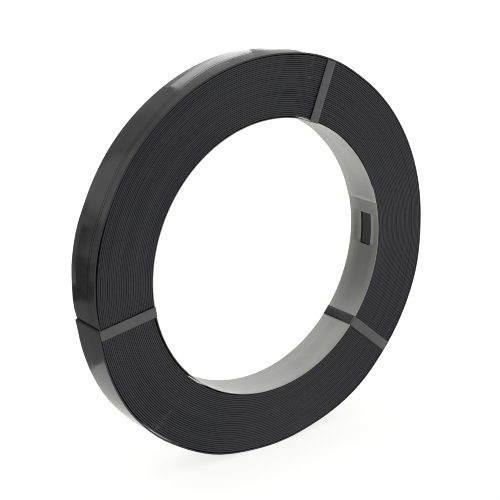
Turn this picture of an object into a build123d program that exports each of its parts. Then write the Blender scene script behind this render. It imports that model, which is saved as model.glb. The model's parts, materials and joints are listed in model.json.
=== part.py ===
"""Coil of black steel strapping, standing on its rim.

The coil's axis is Y, its front end faces -Y, and the origin is on the floor, below the middle of the coil.
Angles go round the axis from +X towards +Z, as the front end is seen.
"""

from build123d import *
from math import cos, radians, sin, sqrt
import os

os.makedirs("parts", exist_ok=True)

# The strap, and how it is wound
strap_width = 32.0
strap_thick = 1.27
turn_gap = 0.18
turns = 33
turns_per_ring = 3
ring_relief = 0.5

# The band of sheet steel that lines the bore
bore_diameter = 215.0
liner_thick = 0.5
liner_proud = 0.5
liner_gap = 0.1
lap_angle = 13.8
lap_sweep = 42.0
slot_angle = 0.4
slot_length = 27.0
slot_width = 12.0
slot_shift = -2.0
slot_corner = 1.0

# The flat steel ties
tie_width = 8.0
tie_thick = 0.38
tie_gap = 0.05
upper_tie_angle = 68.8
left_tie_angle = 190.1
right_tie_angle = 320.0

# What follows from the sizes above
bore_radius = bore_diameter / 2
turn_pitch = strap_thick + turn_gap
liner_outer = bore_radius + liner_thick
coil_inner = liner_outer + liner_gap
coil_outer = coil_inner + turns * turn_pitch
coil_half = strap_width / 2
liner_half = coil_half + liner_proud

# The coil's axis, with the planes that its sections and its end are drawn on
coil_centre = (0, 0, coil_outer)
coil_axis = Axis(coil_centre, (0, 1, 0))
section_plane = Plane(origin=coil_centre, x_dir=(1, 0, 0), z_dir=(0, 0, 1))
end_plane = Plane(origin=coil_centre, x_dir=(1, 0, 0), z_dir=(0, -1, 0))


def polar(radius, angle):
    """A point of the end plane, from its radius and angle."""
    return (radius * cos(radians(angle)), radius * sin(radians(angle)))


def end_line(side):
    """One end of the wound strap in section: a low ridge for every few turns, with a groove on each side."""
    rings = turns // turns_per_ring
    ring_pitch = (coil_outer - coil_inner) / rings
    points = [(coil_inner, side * (coil_half - ring_relief))]
    for ring in range(rings):
        groove = coil_inner + ring * ring_pitch
        points.append((groove + ring_pitch / 2, side * coil_half))
        points.append((groove + ring_pitch, side * (coil_half - ring_relief)))
    return points


# The wound strap: one turned solid, whose turns show as ridges on both ends
with BuildPart() as strap_coil:
    with BuildSketch(section_plane):
        with BuildLine():
            Polyline(*end_line(-1), *reversed(end_line(1)), close=True)
        make_face()
    revolve(axis=coil_axis)

# The liner: a rolled band, whose inner end laps over the outer one and fades into the ring
lap_middle = lap_angle + lap_sweep / 2
lap_end = lap_angle + lap_sweep
slot_normal = (cos(radians(slot_angle)), 0, sin(radians(slot_angle)))
slot_plane = Plane(origin=(0, slot_shift, coil_outer), x_dir=(0, 1, 0), z_dir=slot_normal)
with BuildPart() as bore_liner:
    with BuildSketch(end_plane):
        Circle(liner_outer)
        Circle(bore_radius, mode=Mode.SUBTRACT)
    extrude(amount=liner_half, both=True)
    with BuildSketch(end_plane):
        with BuildLine():
            step = Line(polar(bore_radius, lap_angle), polar(bore_radius - liner_thick, lap_angle))
            ThreePointArc(
                step @ 1,
                polar(bore_radius - liner_thick / 2, lap_middle),
                polar(bore_radius, lap_end),
            )
            ThreePointArc(polar(bore_radius, lap_end), polar(bore_radius, lap_middle), step @ 0)
        make_face()
    extrude(amount=liner_half, both=True)
    with BuildSketch(slot_plane.offset(bore_radius / 2)):
        RectangleRounded(slot_width, slot_length, slot_corner)
    extrude(amount=bore_radius, mode=Mode.SUBTRACT)

pieces = {"strap_coil": strap_coil, "bore_liner": bore_liner}

# The ties: flat bands, each bent round the section of the coil and its liner
tie_reach = sqrt(bore_radius**2 - (tie_width / 2) ** 2)
tie_loop = [
    (tie_reach - tie_gap, -liner_half - tie_gap),
    (coil_outer + tie_gap, -coil_half - tie_gap),
    (coil_outer + tie_gap, coil_half + tie_gap),
    (tie_reach - tie_gap, liner_half + tie_gap),
]
tie_angles = {"tie_upper": upper_tie_angle, "tie_left": left_tie_angle, "tie_right": right_tie_angle}
for name, angle in tie_angles.items():
    along = (cos(radians(angle)), 0, sin(radians(angle)))
    across = (-sin(radians(angle)), 0, cos(radians(angle)))
    with BuildPart() as tie:
        with BuildSketch(Plane(origin=coil_centre, x_dir=along, z_dir=across)):
            with BuildLine():
                Polyline(*tie_loop, close=True)
            make_face()
            offset(amount=tie_thick)
            with BuildLine():
                Polyline(*tie_loop, close=True)
            make_face(mode=Mode.SUBTRACT)
        extrude(amount=tie_width / 2, both=True)
    pieces[name] = tie

for name, piece in pieces.items():
    piece.part.label = name
    export_step(piece.part, f"parts/{name}.step")
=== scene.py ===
# %% [markdown]
# # A coil of black steel strapping
# The coil stands on its rim: 33 turns of flat black strap, wound on a thin sheet steel liner and held by
# three flat ties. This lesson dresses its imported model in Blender: it winds the real strap as one spiral,
# rolls the liner, bends the ties, and then gives each of them its finish.
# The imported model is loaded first. It is the fixed frame that every new piece has to fit.

# %% Load the frame
import json
from math import atan2, cos, degrees, hypot, pi, radians, sin, sqrt

import bpy
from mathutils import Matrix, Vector


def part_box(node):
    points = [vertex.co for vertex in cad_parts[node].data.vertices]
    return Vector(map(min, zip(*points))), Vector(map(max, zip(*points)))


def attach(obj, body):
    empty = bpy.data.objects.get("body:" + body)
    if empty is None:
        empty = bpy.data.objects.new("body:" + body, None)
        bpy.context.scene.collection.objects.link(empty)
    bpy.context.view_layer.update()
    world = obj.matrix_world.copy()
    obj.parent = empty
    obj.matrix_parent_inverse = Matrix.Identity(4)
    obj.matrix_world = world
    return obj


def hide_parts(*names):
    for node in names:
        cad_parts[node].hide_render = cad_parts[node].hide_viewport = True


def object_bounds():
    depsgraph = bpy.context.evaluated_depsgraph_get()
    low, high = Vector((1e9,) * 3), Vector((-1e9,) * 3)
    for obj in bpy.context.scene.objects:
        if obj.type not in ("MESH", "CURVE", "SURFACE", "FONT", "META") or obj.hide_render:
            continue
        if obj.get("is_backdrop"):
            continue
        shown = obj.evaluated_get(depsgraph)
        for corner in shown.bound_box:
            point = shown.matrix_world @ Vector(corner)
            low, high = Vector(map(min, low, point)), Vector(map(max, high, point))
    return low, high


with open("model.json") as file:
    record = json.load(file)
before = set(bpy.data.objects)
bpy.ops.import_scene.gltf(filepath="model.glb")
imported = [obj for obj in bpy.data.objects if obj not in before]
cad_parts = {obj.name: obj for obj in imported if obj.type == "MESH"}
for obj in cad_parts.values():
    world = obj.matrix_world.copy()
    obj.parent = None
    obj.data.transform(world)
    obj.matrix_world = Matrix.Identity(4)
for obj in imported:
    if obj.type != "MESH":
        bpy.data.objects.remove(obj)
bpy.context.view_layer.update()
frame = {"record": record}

# %% [markdown]
# ## Sizes
# Most sizes are read from the frame, so that the dressed coil can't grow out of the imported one. What the
# frame doesn't show, such as one turn's thickness, is written here once, in metres.
# Angles go round the coil's axis from +X towards +Z, as its front end is seen. The strap's free end, its
# tail, lies beside the left tie.

# %% Sizes of the coil, its liner and its ties
MM = 0.001
coil_low, coil_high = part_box("strap_coil")
liner_low, liner_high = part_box("bore_liner")
centre = (coil_low + coil_high) / 2
coil_outer = (coil_high.x - coil_low.x) / 2
coil_half = (coil_high.y - coil_low.y) / 2
liner_outer = (liner_high.x - liner_low.x) / 2
liner_half = (liner_high.y - liner_low.y) / 2
bore_radius = frame["record"]["mounts"][0]["dims"]["r_mm"] * MM
liner_thick = liner_outer - bore_radius

turns = 33
strap_thick = 1.27 * MM
tail_angle = 188.7
tie_angles = {"tie_upper": 68.8, "tie_left": 190.1, "tie_right": 320.0}
print(f"coil: outer radius {coil_outer / MM:.2f} mm, bore {bore_radius / MM:.2f} mm, {turns} turns")

# %% [markdown]
# ## Camera
# The camera was matched to the four circles of the coil's ends in the picture: it looks at the front end
# from its left and from a little above, through a long lens. The small shift keeps the framing, and
# leaves the angle as it is.

# %% Camera
camera_azimuth = radians(-37.43)
camera_elevation = radians(18.03)
camera_distance = 6.639 * coil_outer
focal_pixels = 1349.8
picture_pixels = 500
centre_pixel = (259.3, 253.35)


def direction(azimuth, elevation):
    """A unit vector from the coil: azimuth 0 points to -Y, and positive azimuths turn towards +X."""
    return Vector((sin(azimuth) * cos(elevation), -cos(azimuth) * cos(elevation), sin(elevation)))


bpy.ops.object.select_all(action="DESELECT")
to_camera = direction(camera_azimuth, camera_elevation)
bpy.ops.object.camera_add(location=centre + to_camera * camera_distance)
camera = bpy.context.object
camera.name = "camera"
camera.rotation_euler = to_camera.to_track_quat("Z", "Y").to_euler()
camera.data.sensor_width = 36
camera.data.lens = focal_pixels / picture_pixels * camera.data.sensor_width
camera.data.shift_x = 0.5 - centre_pixel[0] / picture_pixels
camera.data.shift_y = centre_pixel[1] / picture_pixels - 0.5
camera.data.clip_end = 30
bpy.context.scene.camera = camera
print(f"camera: lens {camera.data.lens:.1f} mm at {camera_distance:.3f} m")

# %% [markdown]
# ## Helpers
# Every operator works on what is selected, so each step starts by making one object the only one. Inside
# edit mode, faces, edges and points are picked by where they lie. Each piece is modelled round the world's
# middle, with the coil's axis along Y, and is stood in its place at the end, so that its place is in its
# mesh and its object stays at the origin.

# %% Helpers for selecting
def only(obj):
    """Makes obj the one selected and active object."""
    bpy.ops.object.select_all(action="DESELECT")
    obj.select_set(True)
    bpy.context.view_layer.objects.active = obj


def new_piece(name):
    """Names the object that the last operator added, and returns it."""
    piece = bpy.context.object
    piece.name = name
    piece.data.name = name
    return piece


def pick(obj, kind, test):
    """In edit mode, selects only the points, edges or faces whose middle passes the test."""
    bpy.ops.object.mode_set(mode="EDIT")
    bpy.ops.mesh.select_mode(type=kind)
    bpy.ops.mesh.select_all(action="DESELECT")
    bpy.ops.object.mode_set(mode="OBJECT")
    points = obj.data.vertices
    for part in {"VERT": points, "EDGE": obj.data.edges, "FACE": obj.data.polygons}[kind]:
        corners = [part] if kind == "VERT" else [points[i] for i in part.vertices]
        part.select = test(sum((corner.co for corner in corners), Vector()) / len(corners))
    bpy.ops.object.mode_set(mode="EDIT")


# %% Helpers for finishing
def apply_new(obj, kind, **values):
    """Adds a modifier to the object, sets its values and applies it."""
    modifier = obj.modifiers.new(kind.title(), kind)
    for key, value in values.items():
        setattr(modifier, key, value)
    only(obj)
    bpy.ops.object.modifier_apply(modifier=modifier.name)


def stand_up(obj, angle=0.0, lift=0.0):
    """Turns a piece by an angle round the coil's axis and moves it to the coil's middle."""
    obj.rotation_euler.y = -radians(angle)
    obj.location = centre + Vector((0, 0, lift))
    only(obj)
    bpy.ops.object.transform_apply(location=True, rotation=True, scale=True)


def smooth_and_count(obj, crease=35):
    """Shades a piece smooth up to a crease angle and prints its size."""
    only(obj)
    bpy.ops.object.shade_smooth_by_angle(angle=radians(crease))
    triangles = sum(len(face.vertices) - 2 for face in obj.data.polygons)
    print(f"{obj.name}: {triangles} triangles, {[round(v / MM, 2) for v in obj.dimensions]} mm")


# %% Helpers for node trees
def node(tree, kind, inputs=None, **props):
    """Adds a node, sets its properties, and fills or links its inputs."""
    made = tree.nodes.new(kind)
    for key, value in props.items():
        setattr(made, key, value)
    for key, value in (inputs or {}).items():
        socket = made.inputs[key]
        if isinstance(value, bpy.types.NodeSocket):
            tree.links.new(value, socket)
        else:
            socket.default_value = value
    return made


def math(tree, operation, *values):
    """One step of arithmetic on numbers or sockets."""
    return node(tree, "ShaderNodeMath", dict(enumerate(values)), operation=operation).outputs[0]


def vector_math(tree, operation, *values, **named):
    """One step of arithmetic on vectors."""
    inputs = {**dict(enumerate(values)), **named}
    return node(tree, "ShaderNodeVectorMath", inputs, operation=operation).outputs[0]


def remap(tree, value, low, high, to_low=0.0, to_high=1.0, smooth=False):
    """Stretches a value from one range to another, and stops it at the ends."""
    ranges = {"Value": value, "From Min": low, "From Max": high, "To Min": to_low, "To Max": to_high}
    kind = "SMOOTHSTEP" if smooth else "LINEAR"
    return node(tree, "ShaderNodeMapRange", ranges, interpolation_type=kind).outputs[0]


# %% [markdown]
# ## The strap's section
# The strap is a flat bar whose slit edges are rounded over, so each turn shows as a ridge with a dark groove
# beside it. Its section is drawn as a small plane whose face is then deleted, so that only the outline is
# left: X is the strap's thickness, with the outer side at -X, and Y is its width, with the front at -Y.
# The last turn is a little crowned: its middle stands up between two strips along its edges, and two fine
# grooves run between the front strip and the crown. A crowned strap of its own could be joined on, but one
# section can serve the whole winding. For that its points carry marks, which the winding and the finish
# read: how far a point rises with the crown, whether it drifts with the front lines, whether it lies in a
# groove, and whether it lies on a slit edge.

# %% Sizes of the section
end_clearance = 0.2 * MM
edge_round = 0.5 * MM
strap_half = coil_half - end_clearance
near_strip = 6.4 * MM
far_strip = 7.0 * MM
crown_step = 0.2 * MM
bead = 2.4 * MM
near_edge = near_strip - strap_half
far_edge = strap_half - far_strip
first_groove, second_groove = 0.5, 0.625
crown_heights = {
    near_edge: 0.75,
    near_edge + crown_step: first_groove,
    near_edge + 2 * crown_step: 0.875,
    near_edge + bead: 0.875,
    near_edge + bead + crown_step: second_groove,
    near_edge + bead + 2 * crown_step: 1.0,
    far_edge - crown_step: 1.0,
    far_edge: 0.6,
}
print(f"strap: {2 * strap_half / MM:.1f} by {strap_thick / MM:.2f} mm, crown in {len(crown_heights)} lines")


# %% Draw the section
def on_outer_side(place):
    """Whether a place lies on the strap's outer flat side."""
    return place.x < -0.49 * strap_thick


bpy.ops.object.select_all(action="DESELECT")
bpy.ops.mesh.primitive_plane_add(size=1)
section = new_piece("strap_section")
section.scale = (strap_thick, 2 * strap_half, 1)
bpy.ops.object.transform_apply(scale=True)
bpy.ops.object.mode_set(mode="EDIT")
bpy.ops.mesh.select_all(action="SELECT")
bpy.ops.mesh.bevel(offset=edge_round, segments=3, affect="VERTICES")
bpy.ops.mesh.delete(type="ONLY_FACE")
for cut in crown_heights:
    pick(section, "EDGE", on_outer_side)
    bpy.ops.mesh.bisect(plane_co=(0, cut, 0), plane_no=(0, 1, 0))
bpy.ops.object.mode_set(mode="OBJECT")
print("section:", len(section.data.vertices), "points")

# %% Mark its points
mark_names = ("crown", "drift", "groove", "slit")
for name in mark_names:
    section.data.attributes.new(name, "FLOAT", "POINT")
crown, drift, groove, slit = (section.data.attributes[name] for name in mark_names)
for point in section.data.vertices:
    across = point.co.y
    if point.co.x < 0:
        nearest = min(crown_heights, key=lambda cut: abs(cut - across))
        rise = crown_heights[nearest] if abs(nearest - across) < crown_step / 4 else 0.0
        crown.data[point.index].value = rise
        drift.data[point.index].value = float(rise > 0 and across < 0)
        groove.data[point.index].value = float(rise in (first_groove, second_groove))
    slit.data[point.index].value = float(abs(across) > strap_half - 0.9 * edge_round)
for name in mark_names:
    marked = sum(item.value > 0 for item in section.data.attributes[name].data)
    print(f"{name}: {marked} points")

# %% [markdown]
# ## Winding the strap
# The turns could be made as 33 rings, but then no free end would show and the ends would look turned. So
# the strap is wound as it is in the works: Geometry Nodes draw a flat spiral of 33 turns, and the section
# follows it. The number of turns so far is kept as an attribute, for the crown and for the finish.
# A real coil is neither round nor even. Each turn wanders a little, so that no two end at quite the same
# height. The pack swells at some angles and is pressed in at others, its outer turns most. The last turn
# passes over the ties, and stands off the pack just above the left one. Each of these is a rise of the
# path, added to the spiral's radius before the section is swept along it.

# %% Sizes of the winding
steps_per_turn = 120
liner_clearance = 0.15 * MM
over_ties = 0.36 * MM
tail_stands_out = 0.55 * MM - over_ties
first_radius = liner_outer + liner_clearance + strap_thick / 2
last_radius = coil_outer + tail_stands_out - strap_thick / 2
wander_along_axis = 0.15 * MM
wander_outwards = 0.05 * MM
print(f"spiral: from {first_radius / MM:.2f} to {last_radius / MM:.2f} mm")

# %% [markdown]
# Each rise is given by its angle, its height, and the degrees to either side of that angle where it is still
# even and where it has gone. They were read from the coil's outline in the picture.

# %% Where the winding rises and sinks
coil_swellings = (
    (229, 1.9 * MM, 19, 36),
    (-36, 2.0 * MM, 18, 38),
    (71, 1.15 * MM, 3, 16),
    (-60, 0.6 * MM, 8, 18),
    (222, 0.9 * MM, 5, 16),
    (113, -0.6 * MM, 9, 29),
    (190.5, -0.7 * MM, 1.5, 6),
)
last_turn_slack = ((169, 1.0 * MM, 4, 13), (183.5, 0.45 * MM, 1, 6.5))
slack_starts = turns - 1.5
lift_starts, lift_done = turns - 1.0, turns - 0.98
print("rises:", len(coil_swellings), "of the pack and", len(last_turn_slack), "of the last turn")

# %% The path of the strap
winding = bpy.data.node_groups.new("strap_winding", "GeometryNodeTree")
winding.interface.new_socket(name="Geometry", in_out="OUTPUT", socket_type="NodeSocketGeometry")
spiral = node(winding, "GeometryNodeCurveSpiral", {
    "Resolution": steps_per_turn, "Rotations": float(turns), "Height": 0.0,
    "Start Radius": first_radius, "End Radius": last_radius, "Reverse": False,
})
step = node(winding, "GeometryNodeSplineParameter").outputs["Index"]
turn = math(winding, "DIVIDE", step, float(steps_per_turn))
path_place = node(winding, "GeometryNodeInputPosition").outputs[0]


def wander(seed, scale, reach):
    """A smooth random length of up to about reach, which changes along the strap."""
    inputs = {"Vector": (seed,) * 3, "W": turn, "Scale": scale, "Detail": 1.0}
    noise = node(winding, "ShaderNodeTexNoise", inputs, noise_dimensions="4D").outputs[0]
    return remap(winding, noise, 0.25, 0.75, -reach, reach)


def swelling(angle, height, flat, ends):
    """A rise of the path round one angle: even within flat degrees of it, and gone at ends degrees."""
    turn_there = (tail_angle - angle) / 360
    # Half a turn is added before the wrap, so that the wrap falls on the coil's other side.
    past = math(winding, "FRACT", math(winding, "ADD", turn, 1.5 - turn_there))
    away = math(winding, "ABSOLUTE", math(winding, "SUBTRACT", past, 0.5))
    rise = remap(winding, away, ends / 360, flat / 360, smooth=True)
    return math(winding, "MULTIPLY", rise, height)


outer_share = math(winding, "POWER", math(winding, "DIVIDE", turn, float(turns)), 2.0)
on_slack_turn = math(winding, "GREATER_THAN", turn, slack_starts)
uneven = wander(7.0, 3.1, wander_outwards)
for rises, share in ((coil_swellings, outer_share), (last_turn_slack, on_slack_turn)):
    for rise in rises:
        uneven = math(winding, "ADD", uneven, math(winding, "MULTIPLY", swelling(*rise), share))
lifted = remap(winding, turn, lift_starts, lift_done, 0.0, over_ties, smooth=True)
uneven = math(winding, "ADD", uneven, lifted)
sideways = node(winding, "ShaderNodeCombineXYZ", {"Z": wander(3.0, 2.3, wander_along_axis)}).outputs[0]
outwards = vector_math(winding, "SCALE", vector_math(winding, "NORMALIZE", path_place), Scale=uneven)
wandered = node(winding, "GeometryNodeSetPosition", {
    "Geometry": spiral.outputs[0], "Offset": vector_math(winding, "ADD", sideways, outwards),
})
path = node(winding, "GeometryNodeSetCurveNormal", {"Curve": wandered.outputs[0]}, mode="Z_UP")
print("path:", len(winding.nodes), "nodes")

# %% [markdown]
# The crown is raised after the sweep, so that only the last turn gets it, and only from the tail round to
# the upper left, where the picture shows it. Near its other end the front lines drift across the strap
# towards the front edge, so the points marked for that are pushed along the axis there. Where each of these
# starts and ends is given in turns wound so far.

# %% The sweep, the crown and the attributes
crown_height = 0.3 * MM
crown_rises, crown_full, crown_fades, crown_ends = 32.0, 32.03, 32.27, 32.36
drift_starts, drift_ends, drift_length = 32.15, 32.24, 7.0 * MM

swell = math(winding, "MULTIPLY", remap(winding, turn, crown_rises, crown_full, smooth=True),
             remap(winding, turn, crown_ends, crown_fades, smooth=True))
kept = path.outputs[0]
for name, value in {"turn": turn, "swell": swell}.items():
    kept = node(winding, "GeometryNodeStoreNamedAttribute",
                {"Geometry": kept, "Name": name, "Value": value}).outputs[0]
outline = node(winding, "GeometryNodeObjectInfo", {"Object": section}).outputs["Geometry"]
profile = node(winding, "GeometryNodeMeshToCurve", {"Mesh": outline}).outputs[0]
swept = node(winding, "GeometryNodeCurveToMesh",
             {"Curve": kept, "Profile Curve": profile, "Fill Caps": True}).outputs[0]
stored = {}
for name in ("crown", "swell", "drift", "turn"):
    read = node(winding, "GeometryNodeInputNamedAttribute", {"Name": name}, data_type="FLOAT")
    stored[name] = read.outputs[0]
raised = math(winding, "MULTIPLY", math(winding, "MULTIPLY", stored["crown"], stored["swell"]), crown_height)
swept_place = node(winding, "GeometryNodeInputPosition").outputs[0]
flat_place = vector_math(winding, "MULTIPLY", swept_place, (1, 1, 0))
push = vector_math(winding, "SCALE", vector_math(winding, "NORMALIZE", flat_place), Scale=raised)
drifted = remap(winding, stored["turn"], drift_starts, drift_ends, smooth=True)
drifted = math(winding, "MULTIPLY", math(winding, "MULTIPLY", drifted, stored["drift"]), -drift_length)
push = vector_math(winding, "ADD", push, node(winding, "ShaderNodeCombineXYZ", {"Z": drifted}).outputs[0])
crowned = node(winding, "GeometryNodeSetPosition", {"Geometry": swept, "Offset": push})
node(winding, "NodeGroupOutput", {"Geometry": crowned.outputs[0]})
print("winding:", len(winding.nodes), "nodes")

# %% [markdown]
# The modifier is applied to a plane, whose mesh the wound strap replaces. Its free end was cut with shears
# and dressed, so the cut's outer edge is bevelled. The strap is then turned until that end is in its place,
# and set down on the floor.

# %% Wind the strap and dress its free end
touching = 0.05 * MM
end_dressing = 0.75 * MM
bpy.ops.object.select_all(action="DESELECT")
bpy.ops.mesh.primitive_plane_add(size=1)
strap = new_piece("wound_strap")
strap.modifiers.new("winding", "NODES").node_group = winding
bpy.ops.object.modifier_apply(modifier="winding")
bpy.data.objects.remove(section)
strap.rotation_euler.x = radians(90)
bpy.ops.object.transform_apply(rotation=True)
bpy.ops.object.mode_set(mode="EDIT")
bpy.ops.mesh.select_all(action="SELECT")
bpy.ops.mesh.normals_make_consistent(inside=False)
bpy.ops.object.mode_set(mode="OBJECT")
end_outside = max(point.co.x for point in strap.data.vertices if abs(point.co.z) < touching)
pick(strap, "EDGE", lambda place: abs(place.z) < touching and place.x > end_outside - touching)
bpy.ops.mesh.bevel(offset=end_dressing, segments=3, affect="EDGES")
bpy.ops.object.mode_set(mode="OBJECT")
print(f"wound: {len(strap.data.polygons)} faces, free end at {end_outside / MM:.2f} mm")

# %% Set it on the floor
stand_up(strap, tail_angle)
strap_low = min(point.co.z for point in strap.data.vertices)
bpy.ops.object.mode_set(mode="EDIT")
bpy.ops.mesh.select_all(action="SELECT")
bpy.ops.transform.translate(value=(0, 0, -strap_low))
bpy.ops.object.mode_set(mode="OBJECT")
smooth_and_count(strap, crease=40)
print(f"strap: {pi * turns * (first_radius + last_radius):.1f} m long, raised by {-strap_low / MM:.2f} mm")

# %% [markdown]
# The crown is only a third of a millimetre high, so smooth shading would smear its flat strips and fine
# grooves into one round hump. The lines along it are marked sharp, and weighted normals keep the flat
# faces between them flat. They are given to the last turn alone, because on the slit edges of the others
# they would make the end of the coil look rough.

# %% Keep the crown's lines crisp
last_turn_starts = turns - 1.05
raised_by = [item.value for item in strap.data.attributes["crown"].data]
for edge in strap.data.edges:
    first, last = edge.vertices
    step_across = abs(strap.data.vertices[first].co.y - strap.data.vertices[last].co.y)
    if raised_by[first] == raised_by[last] > 0 and step_across < 0.75 * bead:
        edge.use_edge_sharp = True
turn_of = strap.data.attributes["turn"].data
on_last_turn = [point.index for point in strap.data.vertices if turn_of[point.index].value > last_turn_starts]
strap.vertex_groups.new(name="last_turn").add(on_last_turn, 1.0, "REPLACE")
apply_new(strap, "WEIGHTED_NORMAL", keep_sharp=True, weight=80, vertex_group="last_turn")
turn_of = strap.data.attributes["turn"].data
sharp_edges = sum(edge.use_edge_sharp for edge in strap.data.edges)
print(f"last turn: {len(on_last_turn)} points, {sharp_edges} sharp edges")

# %% [markdown]
# ## The liner
# The liner is one strip of thin sheet, rolled until its inner end lies over its outer one. It could be two
# rings, but it is made as it is rolled: one edge is spun about the axis at the inner radius for the length
# of the lap, steps out by one thickness, and is spun on all the way round, until it lies under its own
# start. The slot is cut where the spin passes it, and the sheet gets its thickness last.
# The places along the strip are degrees from its inner end, which lies at the lap angle.

# %% Sizes of the liner
lap_angle = 13.8
lap_length, step_length, strip_end = 32.0, 8.0, 368.0
slot_middle, slot_length, slot_width, slot_shift = 346.6, 27 * MM, 12 * MM, -2 * MM
slot_corner = 1.0 * MM
sheet_gap = 0.03 * MM
sheet_edge_round = 0.1 * MM
sheet = liner_thick - sheet_gap
outer_layer = liner_outer - liner_thick / 2
inner_layer = outer_layer - liner_thick
slot_reach = degrees(slot_length / 2 / outer_layer)
print(f"liner: {sheet / MM:.2f} mm sheet, slot {2 * slot_reach:.1f} degrees long")


# %% Roll the liner
def spin(sweep, step=2.0):
    """Spins the selected edge on round the Y axis, by an angle in degrees from +X towards +Z."""
    steps = max(1, round(sweep / step))
    bpy.ops.mesh.spin(steps=steps, angle=radians(sweep), center=(0, 0, 0), axis=(0, 1, 0))


bpy.ops.object.select_all(action="DESELECT")
bpy.ops.mesh.primitive_plane_add(size=2 * liner_half)
liner = new_piece("rolled_liner")
pick(liner, "VERT", lambda place: place.x < 0)
bpy.ops.mesh.delete(type="VERT")
for side in (slot_shift - slot_width / 2, slot_shift + slot_width / 2):
    bpy.ops.mesh.select_all(action="SELECT")
    bpy.ops.mesh.bisect(plane_co=(0, side, 0), plane_no=(0, 1, 0))
bpy.ops.mesh.select_all(action="SELECT")
bpy.ops.transform.translate(value=(inner_layer - liner_half, 0, 0))
spin(lap_length)
step_parts = 4
for part in range(step_parts):
    angle = radians(lap_length + step_length * part / step_parts)
    out = Vector((cos(angle), 0, sin(angle))) * (outer_layer - inner_layer) / step_parts
    spin(step_length / step_parts)
    bpy.ops.transform.translate(value=out)
spin(slot_middle - slot_reach - lap_length - step_length)
spin(2 * slot_reach)
spin(strip_end - slot_middle - slot_reach)
bpy.ops.object.mode_set(mode="OBJECT")
print("liner sheet:", len(liner.data.polygons), "faces")

# %% [markdown]
# A punched slot in the liner is where the strap's inner end is hooked in. It is left by deleting the faces
# that the spin laid there, and its corners are rounded by a small bevel of its four corner points.

# %% Punch the slot and give the sheet its thickness
hair = 0.01


def place_on_sheet(place):
    """A point's angle from the liner's inner end, within one turn, in degrees."""
    return degrees(atan2(place.z, place.x)) % 360


def in_slot(place):
    """Whether a place lies inside the slot's outline, on the outer layer."""
    return (abs(place_on_sheet(place) - slot_middle) < slot_reach
            and abs(place.y - slot_shift) < slot_width / 2
            and hypot(place.x, place.z) > (outer_layer + inner_layer) / 2)


def at_slot_corner(place):
    """Whether a point is one of the slot's four corners, to a hair's breadth."""
    return (abs(abs(place_on_sheet(place) - slot_middle) - slot_reach) < hair
            and abs(abs(place.y - slot_shift) - slot_width / 2) < hair * MM)


pick(liner, "FACE", in_slot)
bpy.ops.mesh.delete(type="FACE")
pick(liner, "VERT", at_slot_corner)
bpy.ops.mesh.bevel(offset=slot_corner, segments=3, affect="VERTICES")
bpy.ops.mesh.select_all(action="SELECT")
bpy.ops.mesh.normals_make_consistent(inside=False)
bpy.ops.object.mode_set(mode="OBJECT")
apply_new(liner, "SOLIDIFY", thickness=sheet, offset=0)
apply_new(liner, "BEVEL", width=sheet_edge_round, segments=2, limit_method="ANGLE", angle_limit=radians(50))
stand_up(liner, lap_angle)
smooth_and_count(liner)

# %% [markdown]
# ## The ties
# Each tie is a narrow strip, drawn tight round the section of the coil from the bore outwards. In the
# picture a tie's bend stops one turn short of the rim: the last turn was wound over the ties. So each of
# them is drawn out only as far as the turns under it reach, which differs round a spiral.
# A tie could be swept along a curve, but a plane gives the same four bends with less work. One loop is
# drawn as a plane in the coil's section, without its face: its corners are rounded, its lines are widened
# into a strip by an extrusion, and Solidify gives the strip its thickness. The other ties are copies.

# %% Measure the strap under each tie
tie_width = 8 * MM
tie_thick = 0.38 * MM
tie_gap = 0.05 * MM
tie_bend = 0.65 * MM
tie_edge_round = 0.08 * MM
tie_inside = sqrt(bore_radius**2 - (tie_width / 2) ** 2) - tie_gap - tie_thick / 2


def reach_under_tie(angle):
    """How far the turns below the last one reach from the coil's middle, under a tie at this angle."""
    out = Vector((cos(radians(angle)), 0, sin(radians(angle))))
    aside = Vector((-sin(radians(angle)), 0, cos(radians(angle))))
    below_last = turns - 0.5 - ((angle - tail_angle) % 360) / 360
    places = (point.co - centre for point in strap.data.vertices if turn_of[point.index].value < below_last)
    return max(place.dot(out) for place in places if abs(place.dot(aside)) < 0.75 * tie_width)


tie_reaches = {name: reach_under_tie(angle) for name, angle in tie_angles.items()}
print("strap under the ties:", {name: round(reach / MM, 2) for name, reach in tie_reaches.items()}, "mm")

# %% Bend one tie
bpy.ops.object.select_all(action="DESELECT")
bpy.ops.mesh.primitive_plane_add(size=1)
first_tie = new_piece("tie_strip")
first_tie.scale = (coil_outer - tie_inside, 2 * (coil_half + tie_gap + tie_thick / 2), 1)
first_tie.location.x = (coil_outer + tie_inside) / 2
bpy.ops.object.transform_apply(location=True, scale=True)
pick(first_tie, "VERT", lambda place: place.x < bore_radius)
bpy.ops.transform.resize(value=(1, (liner_half + tie_gap) / (coil_half + tie_gap), 1))
bpy.ops.mesh.select_all(action="SELECT")
bpy.ops.mesh.bevel(offset=tie_bend, segments=4, affect="VERTICES")
bpy.ops.mesh.delete(type="ONLY_FACE")
bpy.ops.mesh.select_all(action="SELECT")
bpy.ops.transform.translate(value=(0, 0, -tie_width / 2))
strips = 4
for strip in range(strips):
    bpy.ops.mesh.extrude_edges_move(TRANSFORM_OT_translate={"value": (0, 0, tie_width / strips)})
bpy.ops.mesh.select_all(action="SELECT")
bpy.ops.mesh.normals_make_consistent(inside=False)
bpy.ops.object.mode_set(mode="OBJECT")
print("tie strip:", len(first_tie.data.polygons), "faces")

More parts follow.
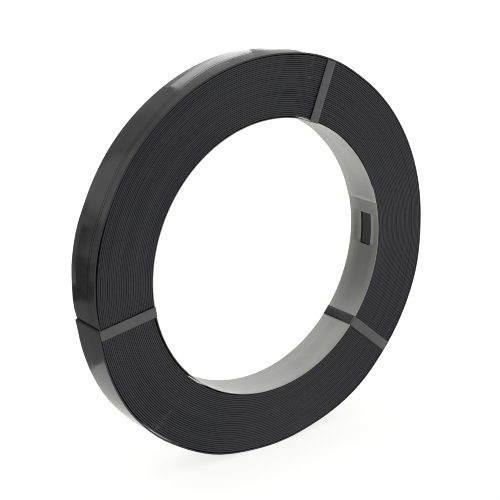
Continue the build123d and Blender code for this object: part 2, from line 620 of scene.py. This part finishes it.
# %% Copy it to the three places
ties = []
for name, angle in tie_angles.items():
    tie = first_tie.copy()
    tie.data = first_tie.data.copy()
    tie.name = tie.data.name = name + "_strip"
    bpy.context.collection.objects.link(tie)
    only(tie)
    pick(tie, "VERT", lambda place: place.x > (tie_inside + coil_outer) / 2)
    grown = tie_reaches[name] + tie_gap + tie_thick / 2 - coil_outer
    bpy.ops.transform.translate(value=(grown, 0, 0))
    bpy.ops.object.mode_set(mode="OBJECT")
    apply_new(tie, "SOLIDIFY", thickness=tie_thick, offset=0)
    apply_new(tie, "BEVEL", width=tie_edge_round, segments=2, limit_method="ANGLE", angle_limit=radians(50))
    stand_up(tie, angle)
    smooth_and_count(tie)
    ties.append(tie)
bpy.data.objects.remove(first_tie)

# %% [markdown]
# ## Finishes
# Three effects serve the finishes, and each is a node group with named inputs and one output: the fine
# lines that rolling leaves along a strip, the soft blotches of wax and handling, and a few light specks.
# Each material gives them its own values, and keeps its shader to itself.

# %% A helper for node groups
def effect(name, inputs, outputs):
    """A new shader node group with these sockets, and its input and output nodes."""
    group = bpy.data.node_groups.new(name, "ShaderNodeTree")
    for socket, value in inputs.items():
        kind = "NodeSocketFloat" if isinstance(value, float) else "NodeSocketVector"
        made = group.interface.new_socket(name=socket, in_out="INPUT", socket_type=kind)
        if isinstance(value, float):
            made.default_value = value
    for socket in outputs:
        group.interface.new_socket(name=socket, in_out="OUTPUT", socket_type="NodeSocketFloat")
    return group, node(group, "NodeGroupInput").outputs, node(group, "NodeGroupOutput").inputs


# %% Rolled lines: noise that is stretched round the coil
sockets = {"Vector": None, "Lines": 900.0, "Length": 12.0}
rolled_lines, given, result = effect("rolled_lines", sockets, ["Value"])
stretch = {"X": given["Length"], "Y": given["Lines"], "Z": given["Length"]}
stretch = node(rolled_lines, "ShaderNodeCombineXYZ", stretch).outputs[0]
lines_place = vector_math(rolled_lines, "MULTIPLY", given["Vector"], stretch)
lines_noise = node(rolled_lines, "ShaderNodeTexNoise", {
    "Vector": lines_place, "Scale": 1.0, "Detail": 3.0, "Roughness": 0.6,
}).outputs[0]
rolled_lines.links.new(remap(rolled_lines, lines_noise, 0.3, 0.7), result["Value"])
print("rolled_lines:", len(rolled_lines.nodes), "nodes")

# %% Blotches: soft patches, a little longer round the coil than across it
sockets = {"Vector": None, "Size": 30.0, "Cover": 0.5, "Softness": 0.15}
blotches, given, result = effect("blotches", sockets, ["Mask"])
blotch_place = vector_math(blotches, "MULTIPLY", given["Vector"], (1.0, 1.6, 1.0))
blotch_noise = node(blotches, "ShaderNodeTexNoise", {
    "Vector": blotch_place, "Scale": given["Size"], "Detail": 4.0, "Roughness": 0.55, "Distortion": 0.4,
}).outputs[0]
edge = math(blotches, "SUBTRACT", 1.0, given["Cover"])
low = math(blotches, "SUBTRACT", edge, given["Softness"])
high = math(blotches, "ADD", edge, given["Softness"])
blotches.links.new(remap(blotches, blotch_noise, low, high, smooth=True), result["Mask"])
print("blotches:", len(blotches.nodes), "nodes")

# %% Specks: one small grain in a few of the cells of a fine grid
specks, given, result = effect("specks", {"Vector": None, "Cells": 260.0, "Share": 0.03}, ["Mask"])
cells = node(specks, "ShaderNodeTexVoronoi", {"Vector": given["Vector"], "Scale": given["Cells"]})
chance = node(specks, "ShaderNodeSeparateColor", {"Color": cells.outputs["Color"]}).outputs[0]
chosen = math(specks, "LESS_THAN", chance, given["Share"])
grain = remap(specks, cells.outputs["Distance"], 0.28, 0.12, smooth=True)
specks.links.new(math(specks, "MULTIPLY", chosen, grain), result["Mask"])
print("specks:", len(specks.nodes), "nodes")


# %% Helpers for materials
def new_material(name, **sockets):
    """A material with a Principled shader, whose plain values are set on its own sockets."""
    material = bpy.data.materials.new(name)
    material.use_nodes = True
    tree = material.node_tree
    shader = next(item for item in tree.nodes if item.type == "BSDF_PRINCIPLED")
    for socket, value in sockets.items():
        shader.inputs[socket.replace("_", " ")].default_value = value
    return material, tree, shader


def place_of(tree):
    """The place on the object, from the coil's middle."""
    place = node(tree, "ShaderNodeTexCoord").outputs["Object"]
    return vector_math(tree, "SUBTRACT", place, tuple(centre))


def mask_from(tree, group, **inputs):
    """Places a node group in a material, fills its inputs and returns its output."""
    return node(tree, "ShaderNodeGroup", inputs, node_tree=group).outputs[0]


def mix_colour(tree, factor, first, second):
    """A colour between two, by a mask."""
    # A Mix node has sockets for each kind of value. Those for colours are inputs 6 and 7, and output 2.
    made = node(tree, "ShaderNodeMix", {"Factor": factor}, data_type="RGBA")
    for socket, value in zip((made.inputs[6], made.inputs[7]), (first, second)):
        if isinstance(value, bpy.types.NodeSocket):
            tree.links.new(value, socket)
        else:
            socket.default_value = (*value, 1.0)
    return made.outputs[2]


def bump(tree, height, strength, distance, normal=None):
    """A Bump node's normal."""
    inputs = {"Height": height, "Strength": strength, "Distance": distance}
    if normal is not None:
        inputs["Normal"] = normal
    return node(tree, "ShaderNodeBump", inputs).outputs[0]


# %% [markdown]
# ## The strap's finish
# Strap of this kind is painted black and waxed. Its flat sides are glossy, a little wavy and blotched with
# wax. Its slit edges are duller and bluer, and no two turns have quite the same grey, so the number of
# turns from the winding drives a slow change of tone along the strap. The lighter grey on the corners is
# partly thin paint and partly a painted glint along each ridge. The first turn, which shows through the
# liner's slot, is dusty.
# The two fine grooves beside the crown are painted shade: the finish turns there to a black metal, which
# mirrors next to nothing, so they show as dark lines.

# %% Colours of the strap
bare_black, waxed_black = (0.008, 0.008, 0.009), (0.016, 0.014, 0.013)
slit_black, slit_grey = (0.0, 0.0005, 0.004), (0.016, 0.0165, 0.0225)
wear_and_glint_grey, speck_grey = (0.060, 0.060, 0.063), (0.30, 0.29, 0.27)
dusty_black, groove_shade_black = (0.045, 0.047, 0.046), (0.002, 0.002, 0.002)
strap_paint, tree, shader = new_material("black_strap", IOR=1.5)
place = place_of(tree)


def strap_mark(name):
    """One of the marks that the winding left on the strap's points."""
    return node(tree, "ShaderNodeAttribute", attribute_name=name).outputs["Fac"]


on_slit, turn_count = strap_mark("slit"), strap_mark("turn")
off_slit = math(tree, "SUBTRACT", 1.0, on_slit)
tone = node(tree, "ShaderNodeTexNoise", {"W": turn_count, "Scale": 2.7, "Detail": 2.0},
            noise_dimensions="1D").outputs[0]
tone = remap(tree, tone, 0.3, 0.7)
wax = mask_from(tree, blotches, Vector=place, Size=22.0, Cover=0.5, Softness=0.12)
lines = mask_from(tree, rolled_lines, Vector=place, Lines=700.0, Length=9.0)
dust = mask_from(tree, specks, Vector=place, Cells=210.0, Share=0.006)

flat_colour = mix_colour(tree, wax, bare_black, waxed_black)
colour = mix_colour(tree, on_slit, flat_colour, mix_colour(tree, tone, slit_black, slit_grey))
# The corner line: partly thin paint, partly a painted glint along each ridge.
on_corner = math(tree, "MULTIPLY", math(tree, "MULTIPLY", on_slit, off_slit), 4.0)
wear_and_glint = math(tree, "MULTIPLY", on_corner, math(tree, "MULTIPLY", tone, 0.35))
colour = mix_colour(tree, wear_and_glint, colour, wear_and_glint_grey)
colour = mix_colour(tree, dust, colour, speck_grey)
dusty = math(tree, "MULTIPLY", remap(tree, turn_count, 1.2, 1.0), off_slit)
colour = mix_colour(tree, dusty, colour, dusty_black)
# Painted shade in the two fine grooves: black metal there mirrors next to nothing.
groove_painted_shade = remap(tree, math(tree, "MULTIPLY", strap_mark("groove"), strap_mark("swell")), 0.0, 0.2)
colour = mix_colour(tree, groove_painted_shade, colour, groove_shade_black)
tree.links.new(colour, shader.inputs["Base Color"])
tree.links.new(groove_painted_shade, shader.inputs["Metallic"])
print(strap_paint.name, "is coloured by", len(tree.nodes), "nodes")

# %% Gloss and waviness of the strap
flat_rough = math(tree, "MULTIPLY_ADD", lines, 0.02, 0.09)
flat_rough = math(tree, "ADD", math(tree, "MULTIPLY", wax, 0.06), flat_rough)
slit_rough = math(tree, "MULTIPLY_ADD", tone, 0.16, 0.34)
rough = {"Factor": on_slit, "A": flat_rough, "B": slit_rough}
rough = node(tree, "ShaderNodeMix", rough, data_type="FLOAT").outputs[0]
tree.links.new(rough, shader.inputs["Roughness"])

wave = node(tree, "ShaderNodeTexNoise", {"Vector": place, "Scale": 26.0, "Detail": 1.0}).outputs[0]
waved = bump(tree, wave, strength=0.35, distance=1.2 * MM)
scratched = bump(tree, lines, strength=0.05, distance=0.04 * MM, normal=waved)
tree.links.new(scratched, shader.inputs["Normal"])
print(strap_paint.name, "has", len(tree.nodes), "nodes in all")

# %% [markdown]
# ## The liner's finish
# The liner is bare cold-rolled sheet, dull and pale. It is a metal, so it has almost no colour of its own:
# its look comes from its roughness, from the fine lines of rolling, which run round the bore, and from
# faint stains. From the lap down past the slot it is darker: painted shade below the lap's edge.

# %% Liner material
sheet_dark, sheet_pale = (0.370, 0.370, 0.352), (0.432, 0.432, 0.414)
stain_grey, lap_shade_grey = (0.335, 0.328, 0.283), (0.285, 0.285, 0.262)
lap_shade_ends, lap_shade_full = radians(-46), radians(-22)
liner_sheet, tree, shader = new_material("liner_steel", Metallic=1.0)
place = place_of(tree)
lines = mask_from(tree, rolled_lines, Vector=place, Lines=1100.0, Length=7.0)
broad = mask_from(tree, rolled_lines, Vector=place, Lines=160.0, Length=4.0)
stain = mask_from(tree, blotches, Vector=place, Size=26.0, Cover=0.42, Softness=0.14)
colour = mix_colour(tree, lines, sheet_dark, sheet_pale)
colour = mix_colour(tree, math(tree, "MULTIPLY", stain, 0.3), colour, stain_grey)
parts = node(tree, "ShaderNodeSeparateXYZ", {"Vector": place}).outputs
# Painted shade: darker from the lap's edge down past the slot, fading out below it.
angle_there = math(tree, "ARCTAN2", parts["Z"], parts["X"])
below_lap = math(tree, "LESS_THAN", angle_there, radians(lap_angle))
lap_shade = remap(tree, angle_there, lap_shade_ends, lap_shade_full, smooth=True)
lap_shade = math(tree, "MULTIPLY", below_lap, lap_shade)
colour = mix_colour(tree, math(tree, "MULTIPLY", lap_shade, 0.75), colour, lap_shade_grey)
tree.links.new(colour, shader.inputs["Base Color"])
rough = math(tree, "MULTIPLY_ADD", broad, 0.06, 0.40)
rough = math(tree, "MULTIPLY_ADD", stain, 0.07, rough)
tree.links.new(rough, shader.inputs["Roughness"])
scratched = bump(tree, lines, strength=0.25, distance=0.03 * MM)
tree.links.new(scratched, shader.inputs["Normal"])
print(liner_sheet.name, "has", len(tree.nodes), "nodes")

# %% [markdown]
# ## The ties' finish
# The ties are the same painted steel, but thinner and more handled: a satin grey, with lines along the
# strip and soft patches where the paint is rubbed lighter. That grey is given only on the coil's two ends.
# In the bore and under the last turn the ties are black, and glossier.

# %% Tie material
tie_dark, tie_pale = (0.050, 0.050, 0.052), (0.072, 0.072, 0.075)
rubbed_grey, tie_black = (0.095, 0.094, 0.095), (0.016, 0.016, 0.017)
tie_paint, tree, shader = new_material("tie_strap", IOR=1.5)
place = place_of(tree)
lines = mask_from(tree, rolled_lines, Vector=place, Lines=240.0, Length=240.0)
rub = mask_from(tree, blotches, Vector=place, Size=60.0, Cover=0.5, Softness=0.12)
depth = math(tree, "ABSOLUTE", node(tree, "ShaderNodeSeparateXYZ", {"Vector": place}).outputs["Y"])
on_end = remap(tree, depth, coil_half - 0.6 * MM, coil_half + 0.2 * MM, smooth=True)
colour = mix_colour(tree, lines, tie_dark, tie_pale)
colour = mix_colour(tree, math(tree, "MULTIPLY", rub, 0.5), colour, rubbed_grey)
colour = mix_colour(tree, on_end, tie_black, colour)
tree.links.new(colour, shader.inputs["Base Color"])
rough = math(tree, "MULTIPLY_ADD", rub, 0.12, 0.18)
rough = math(tree, "MULTIPLY_ADD", on_end, 0.14, rough)
tree.links.new(rough, shader.inputs["Roughness"])
dented = bump(tree, rub, strength=0.2, distance=0.2 * MM)
tree.links.new(dented, shader.inputs["Normal"])
print(tie_paint.name, "has", len(tree.nodes), "nodes")

# %% Give each piece its finish
for piece, material in ((strap, strap_paint), (liner, liner_sheet), *((tie, tie_paint) for tie in ties)):
    piece.data.materials.clear()
    piece.data.materials.append(material)
    print(piece.name, "has the finish", material.name)

# %% [markdown]
# ## What stands for what
# Each new piece rides on the coil's one body, and takes the place of its imported node, which is hidden.

# %% Tie the pieces to the frame
for piece, packed, slot in (
    (strap, "strap_coil", "black_strap"),
    (liner, "bore_liner", "liner_steel"),
    *((tie, name, "tie_strap") for name, tie in zip(tie_angles, ties)),
):
    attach(piece, "root")
    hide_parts(packed)

# %% [markdown]
# ## Floor and light
# The coil stands on a white floor that fills the picture, and the world round it is white too. The floor
# glows a little, because that world alone would leave it grey. A black glossy thing shows little of itself:
# it shows what stands round it. So the rest of the light is placed by its mirror image, as a photographer
# would with panels and cards, and only glossy surfaces see it. Two panels light the slit edges and the bore.

# %% Floor and surroundings
floor_radius = 14
floor_colour = (0.44, 0.44, 0.435, 1)
floor_glow_colour, floor_glow = (1, 1, 0.99, 1), 0.78
world_glow = 0.62
bpy.ops.object.select_all(action="DESELECT")
bpy.ops.mesh.primitive_circle_add(vertices=64, radius=floor_radius, fill_type="NGON")
floor = new_piece("floor")
floor_white, tree, shader = new_material("floor_white", Roughness=0.9, Specular_IOR_Level=0.1)
shader.inputs["Base Color"].default_value = floor_colour
shader.inputs["Emission Color"].default_value = floor_glow_colour
shader.inputs["Emission Strength"].default_value = floor_glow
floor.data.materials.append(floor_white)
floor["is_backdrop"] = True

world = bpy.data.worlds.new("studio")
bpy.context.scene.world = world
world.use_nodes = True
background = world.node_tree.nodes["Background"].inputs
background["Color"].default_value = (1, 1, 1, 1)
background["Strength"].default_value = world_glow
bpy.context.scene.view_settings.view_transform = "Standard"
bpy.context.scene.cycles.filter_width = 1.0
print(f"floor: {2 * floor_radius} m across, world at {world_glow}")


# %% Panels of light
def panel(name, azimuth, elevation, distance, width, height, radiance):
    """A rectangular light that faces the coil: azimuth 0 is behind the coil, and turns towards +X."""
    out = direction(pi - radians(azimuth), radians(elevation))
    bpy.ops.object.select_all(action="DESELECT")
    bpy.ops.object.light_add(type="AREA", location=centre + out * distance)
    lamp = bpy.context.object
    lamp.name = name
    lamp.rotation_euler = out.to_track_quat("Z", "Y").to_euler()
    lamp.data.shape = "RECTANGLE"
    lamp.data.size = width
    lamp.data.size_y = height
    lamp.data.energy = radiance * pi * width * height
    print(f"{name}: {width:.1f} by {height:.1f} m, {lamp.data.energy:.0f} W")
    return lamp


panels = (
    panel("light_low", azimuth=52, elevation=7, distance=2.5, width=1.3, height=0.7, radiance=3.0),
    panel("light_front", azimuth=140, elevation=45, distance=2.5, width=1.6, height=1.2, radiance=1.5),
)
for lamp in panels:
    lamp.visible_diffuse = False

# %% [markdown]
# The rim's mirror looks at an upright plane behind the coil, and what it sees there is built from cards.
# A bright disc with a plainer one before it makes the patch at the rim's top left: their arcs are the
# patch's two long sides, and the straight edge of a card is its sharp start. Grey cards, the walls, light
# the rest of the rim from its top down to the floor. Dark ones, the flags, lie before them, and make the
# dark bands above the left tie and keep the bright disc out of the bore.

# %% Helpers for cards
card_depth = 0.148
cards = []


def hang(plane, glow, soft=0.0):
    """Makes a plane glow for glossy surfaces alone. Its edges fade out over the length soft."""
    glowing, tree, shader = new_material(plane.name, Roughness=1.0, Specular_IOR_Level=0.0)
    shader.inputs["Emission Strength"].default_value = glow
    shader.inputs["Emission Color"].default_value = (1, 1, 1, 1)
    shader.inputs["Base Color"].default_value = (0, 0, 0, 1)
    plane.data.materials.append(glowing)
    if soft:
        middle = (0.5, 0.5, 0.0)
        place = node(tree, "ShaderNodeTexCoord").outputs["UV"]
        away = vector_math(tree, "ABSOLUTE", vector_math(tree, "SUBTRACT", place, middle))
        inwards = vector_math(tree, "SUBTRACT", middle, away)
        inwards = vector_math(tree, "MULTIPLY", inwards, (plane.scale.x, plane.scale.y, 0))
        parts = node(tree, "ShaderNodeSeparateXYZ", {"Vector": inwards}).outputs
        nearest = math(tree, "MINIMUM", parts["X"], parts["Y"])
        tree.links.new(remap(tree, nearest, 0.0, soft, smooth=True), shader.inputs["Alpha"])
    only(plane)
    bpy.ops.object.transform_apply(location=True, rotation=True, scale=True)
    plane.visible_camera = plane.visible_diffuse = plane.visible_shadow = False
    plane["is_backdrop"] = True
    cards.append(plane)


def card(name, left, right, low, high, glow, row=0, soft=0.0):
    """An upright card behind the coil. Cards of a higher row hang in front of the others."""
    bpy.ops.object.select_all(action="DESELECT")
    middle = ((left + right) / 2, card_depth - row * MM, (low + high) / 2)
    bpy.ops.mesh.primitive_plane_add(size=1, rotation=(radians(90), 0, 0), location=middle)
    plane = new_piece(name)
    plane.scale = (right - left, high - low, 1)
    hang(plane, glow, soft)


def disc(name, across, height, radius, glow, row=0):
    """A round card behind the coil, whose arc is one edge of the bright patch."""
    bpy.ops.object.select_all(action="DESELECT")
    middle = (across, card_depth - row * MM, height)
    upright = (radians(90), 0, 0)
    bpy.ops.mesh.primitive_circle_add(
        vertices=128, radius=radius, fill_type="NGON", rotation=upright, location=middle)
    hang(new_piece(name), glow)


# %% The bright patch
card("wall", -1.0, 0.30, 0.30, 0.90, glow=0.58)
disc("disc_bright", -0.036, 0.160, radius=0.2388, glow=2.8, row=1)
disc("disc_inner", -0.052, 0.160, radius=0.2215, glow=1.0, row=2)
card("flag_far", 0.098, 0.20, 0.335, 0.40, glow=0.55, row=3)
print("patch:", [card_object.name for card_object in cards])

# %% The walls beside it, from the top to the floor
card("wall_by_patch", -0.19, -0.05, 0.215, 0.60, glow=0.57, row=3)
card("wall_next_patch", -0.12, -0.05, 0.215, 0.60, glow=0.69, row=4, soft=0.025)
card("wall_upper_left", -1.0, -0.175, 0.235, 0.60, glow=0.92, row=4, soft=0.02)
card("wall_left", -1.0, -0.15, 0.10, 0.256, glow=0.50, row=3)
card("wall_shin", -1.0, -0.10, 0.045, 0.10, glow=0.32, row=3)
card("wall_foot", -1.0, -0.10, 0.0, 0.050, glow=0.30, row=9)
print("cards so far:", len(cards))

# %% The dark flags before them
card("flag_high", -0.257, -0.226, 0.140, 0.228, glow=0.12, row=5, soft=0.013)
card("flag_low", -0.268, -0.222, 0.085, 0.165, glow=0.12, row=6, soft=0.008)
card("flag_near", -0.33, -0.262, 0.095, 0.165, glow=0.34, row=5, soft=0.012)
card("flag_knee", -0.33, -0.165, 0.082, 0.114, glow=0.12, row=7, soft=0.005)
card("flag_bore", -0.15, 0.04, 0.0, 0.20, glow=0.05, row=8, soft=0.02)
print("cards in all:", len(cards))

# %% [markdown]
# ## The dressed coil's box
# The dressed coil's box is measured. It has to lie inside the imported one's.

# %% Measure the dressed coil's box
low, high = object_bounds()
